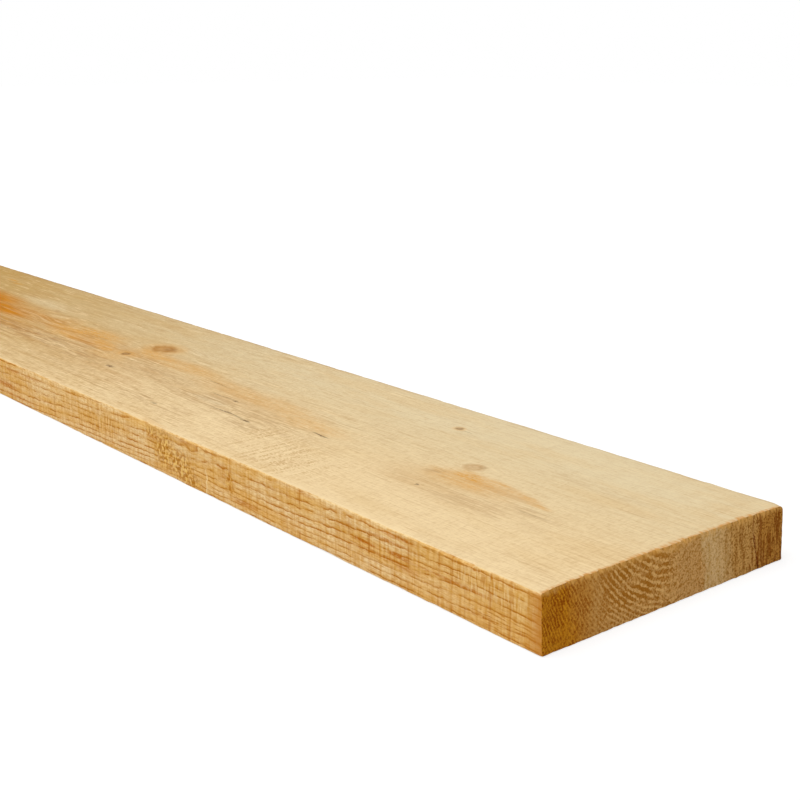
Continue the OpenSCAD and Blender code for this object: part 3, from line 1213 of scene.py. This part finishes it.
def edge_rings(g, wood):
    """Warm wood with its rings, and rows of dashes between them."""
    row = g.scaled(wood.row_shift, 1.2, g.times(wood.up, 1 / ROW_PITCH))
    rows = g.remap(g.math("SINE", g.times(row, math.tau)), 0.1, 0.9)
    rowed = g.math("MAXIMUM", stain(g, wood, EDGE_ROW_SPOTS), ROW_LEAST)
    return g.paint(
        EDGE_PALE,
        (EDGE_WARM, g.remap(wood.blush, 0.35, 0.65)),
        (EDGE_WARM, g.remap(wood.along, 20, 110, 0.7, 0.0)),
        (EDGE_GOLD, g.remap(wood.along, 430, 500, 0.0, 0.2)),
        (EDGE_GOLD, g.remap(wood.ripple, 0.47, 0.62), g.remap(wood.along, 80, 260, 0.4, 0.3)),
        (EDGE_GOLD, wood.broad_late, g.remap(wood.broken, 0.34, 0.6, 0.3, 0.9)),
        (EDGE_GOLD, g.remap(wood.fine, 0.44, 0.66, 0.0, 0.5)),
        (EDGE_RING, wood.late, g.remap(wood.broken, 0.42, 0.54, 0.2, 1.2)),
        (EDGE_RING, rows, rowed, g.remap(wood.row_gaps, 0.4, 0.58, 0.1, 0.9)),
    )


def edge_marks(g, colour, wood):
    """Resin, torn places, knots, the teeth and scores of the saw, scratches, the corner, and a painted
    highlight along the upper arris.
    """
    colour = g.paint(
        colour,
        (EDGE_RESIN, stain(g, wood, EDGE_AMBER_SPOTS), g.remap(wood.fine, 0.35, 0.55, 0.4, 1.0)),
        (EDGE_GOLD, wood.flecked, 0.45),
        (EDGE_FLECK, g.remap(wood.torn, 0.48, 0.38, 0.0, 0.85), wood.flecked),
        (EDGE_TORN, g.remap(wood.torn, 0.5, 0.58, 0.0, 0.85), wood.flecked),
    )
    colour = knot_colours(g, colour, wood.knots, KNOT_DARK)
    return g.paint(
        colour,
        (EDGE_RING, g.remap(wood.teeth, 0.5, 0.66), wood.toothed, 0.65),
        (EDGE_PALE, g.remap(wood.teeth, 0.46, 0.34), wood.toothed, 0.5),
        (EDGE_RING, point_value(g, MARKS_NAME), g.remap(wood.scored, 0.42, 0.6, 0.1, 0.8)),
        (EDGE_SCRATCH_AND_HIGHLIGHT, stain(g, wood, EDGE_PALE_SPOTS)),
        (EDGE_CORNER, g.remap(wood.along, 0.5, 10.0, 0.7, 0.0)),
        # Painted highlight: the edges turn pale along their upper arris
        (EDGE_SCRATCH_AND_HIGHLIGHT, g.remap(wood.up, THICK - 1.0, THICK - 0.1), g.remap(wood.fine, 0.4, 0.6, 0.75, 0.3)),
    )


def edge_material():
    """The two edges: strong rings, resin and the lines of the saw."""
    material, g, shader = new_material("sawn_edge")
    wood = edge_grain(g)
    colour = edge_marks(g, edge_rings(g, wood), wood)
    roughness = g.remap(wood.late, 0.0, 1.0, 0.85, 0.7)
    teeth = g.times(wood.teeth, wood.toothed)
    torn = g.times(wood.torn, wood.flecked)
    relief = ((wood.fine, 0.4), (teeth, 1.0), (torn, -0.8))
    dress(g, shader, colour, roughness, SIDE_GLOSS, relief, EDGE_GRAIN_DEPTH)
    return material


# The ends

def end_grain(g):
    """What the ends' layers are made of: places, textures and rings."""
    place = plank_place(g)
    wood = SimpleNamespace(place=place, **textures(g, place, END_TEXTURES))
    along, wood.across, wood.up = g.split(place)
    wood.checked_end = g.remap(along, 100, 200, 1.0, 0.0)
    count = ring_count(g, place, g.scaled(wood.wobble, 1.6, -0.8))
    rings = g.math("SINE", g.times(count, math.tau))
    wood.ringed = g.remap(g.scaled(wood.fuzz, 3.2, rings), 0.5, 1.9)
    return wood


def end_tones(g, wood):
    """The light and the dark colour of the end grain at a point, which change from zone to zone."""
    across = g.scaled(wood.blot, 2 * ZONE_STRAY, g.less(wood.across, ZONE_STRAY))
    share = g.scaled(across, 1 / WIDTH, 0.5)
    stops = [(place / WIDTH + 0.5, grain) for place, grain in END_ZONES]
    light = g.ramp(share, [(place, grain.light) for place, grain in stops])
    dark = g.ramp(share, [(place, grain.dark) for place, grain in stops])
    return light, dark


def end_shade(g, wood):
    """How dark the end grain is: its rings, where they are seen, its pits and its upright streaks."""
    ring_seen = g.times(
        g.remap(wood.ring_gaps, 0.38, 0.58, 0.5, 1.0),
        g.remap(wood.across, -44, -32, 0.6, 1.0),
        g.remap(wood.across, -8, 6, 1.0, 0.25),
        g.remap(wood.up, 3, 11, 0.55, 1.0),
    )
    pitted = g.times(
        g.remap(wood.pits, 0.42, 0.6),
        g.remap(wood.across, -12, 8, 0.55, 0.85),
        g.remap(wood.fuzz, 0.35, 0.6, 0.5, 1.1),
    )
    streaky = g.times(g.remap(wood.upright, 0.4, 0.62, -0.2, 0.28), g.remap(wood.across, 14, 26))
    return g.math("ADD", g.scaled(wood.ringed, ring_seen, pitted), streaky)


def painted_check_shade(g, wood):
    """How much painted shade shows along the drying check, as a dark line."""
    check_y = g.scaled(wood.up, -CHECK_LEAN, SIDE_Y - CHECK_INSET)
    off_check = g.less(g.scaled(wood.fuzz, 1.8, wood.across), check_y)
    off_check = g.math("ABSOLUTE", g.less(off_check, 0.9))
    return g.times(
        g.remap(off_check, 0.15, 0.9, 0.9, 0.0),
        g.remap(wood.up, 14, 20, 1.0, 0.0),
        g.remap(wood.pits, 0.4, 0.55, 0.5, 1.0),
        wood.checked_end,
    )


def end_material():
    """The two ends: end grain with curved rings, pits and fuzz, and painted shade along the drying check."""
    material, g, shader = new_material("sawn_end")
    wood = end_grain(g)
    light, dark = end_tones(g, wood)
    reddened = g.times(g.remap(wood.upright, 0.48, 0.62), g.remap(wood.across, 40, 60, 0.0, 0.55))
    fringe = rim_fringe(g, wood.place, g.less(THICK, wood.up), END_FRINGE)
    colour = g.paint(
        light,
        (dark, end_shade(g, wood)),
        (STREAK_RED, reddened, wood.checked_end),
        (STREAK_RED, g.remap(wood.grit, 0.56, 0.7), 0.3),
        (light, g.remap(wood.grit, 0.42, 0.3), 0.35),
        (END_FUZZ, fringe, 0.85),
        # Painted shade along the drying check
        (CHECK_SHADE_BROWN, painted_check_shade(g, wood)),
    )
    roughness = g.remap(wood.pits, 0.3, 0.7, 0.8, 0.92)
    relief = ((wood.fuzz, 0.5), (wood.pits, -0.6), (wood.ringed, -0.25))
    dress(g, shader, colour, roughness, END_GLOSS, relief, END_GRAIN_DEPTH)
    return material


# Stage

FLOOR_REACH = 6000.0
FLOOR_DROP = 0.2
FLOOR_BOUNCE = tone(230, 230, 230)
FLOOR_SHADE = 0.30
FLOOR_GLOW = 0.76
WHITE = tone(255, 255, 255)
AMBIENT = 0.42
KEY_FROM = (-0.10, -0.38, 0.92)
KEY_STRENGTH = 1.97
KEY_SPREAD = math.radians(50)


def seen_directly(g):
    """1 for rays that see the background itself, and 0 for those that only carry its light."""
    path = g.add("ShaderNodeLightPath").outputs
    seen = g.math("MAXIMUM", path["Is Camera Ray"], path["Is Glossy Ray"])
    return g.math("MAXIMUM", seen, path["Is Transmission Ray"])


def floor_material():
    """White where it is seen, with a soft shadow, and a plain pale bounce otherwise."""
    material = bpy.data.materials.new("white_floor")
    material.use_nodes = True
    material.node_tree.nodes.clear()
    g = Graph(material.node_tree)
    bounce = g.add("ShaderNodeBsdfDiffuse", FLOOR_BOUNCE).outputs[0]
    shade = g.add("ShaderNodeBsdfDiffuse", [FLOOR_SHADE] * 3 + [1.0]).outputs[0]
    glow = g.add("ShaderNodeEmission", WHITE, FLOOR_GLOW).outputs[0]
    lit = g.add("ShaderNodeAddShader", shade, glow).outputs[0]
    choice = g.add("ShaderNodeMixShader", seen_directly(g), bounce, lit).outputs[0]
    g.add("ShaderNodeOutputMaterial", choice)
    return material


def make_floor():
    """A wide floor just under the plank."""
    r = FLOOR_REACH * MM
    mesh = bpy.data.meshes.new("floor")
    mesh.from_pydata([(-r, -r, 0), (r, -r, 0), (r, r, 0), (-r, r, 0)], [], [(0, 1, 2, 3)])
    mesh.materials.append(floor_material())
    floor = placed("floor", mesh)
    floor.location.z = -FLOOR_DROP * MM


def make_world():
    """White where it is seen, and an even soft light otherwise."""
    world = bpy.data.worlds.new("studio")
    world.use_nodes = True
    bpy.context.scene.world = world
    g = Graph(world.node_tree)
    background = world.node_tree.nodes["Background"]
    background.inputs["Color"].default_value = WHITE
    strength = g.scaled(seen_directly(g), 1.0 - AMBIENT, AMBIENT)
    g.feed(background.inputs["Strength"], strength)


def make_key():
    """One broad soft light from above, the front and a little from the left."""
    light = bpy.data.lights.new("key", "SUN")
    light.energy = KEY_STRENGTH
    light.angle = KEY_SPREAD
    lamp = placed("key", light)
    lamp.rotation_euler = Vector(KEY_FROM).to_track_quat("Z", "Y").to_euler()


def make_camera():
    """The camera at the photograph's view."""
    data = bpy.data.cameras.new("photo_camera")
    data.sensor_width = CAMERA_SENSOR
    data.lens = CAMERA_LENS
    data.clip_start = CAMERA_CLIP * MM
    camera = placed("photo_camera", data)
    camera.location = (CAMERA_AT + Vector((END_X, 0, 0))) * MM
    back = Vector((
        math.sin(CAMERA_AZIMUTH) * math.cos(CAMERA_ELEVATION),
        -math.cos(CAMERA_AZIMUTH) * math.cos(CAMERA_ELEVATION),
        math.sin(CAMERA_ELEVATION),
    ))
    camera.rotation_euler = back.to_track_quat("Z", "Y").to_euler()
    bpy.context.scene.camera = camera


plank = make_plank([face_material(), edge_material(), end_material()])
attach(plank, "root")
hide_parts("plank")

make_floor()
make_world()
make_key()
make_camera()
bpy.context.scene.view_settings.view_transform = "Standard"
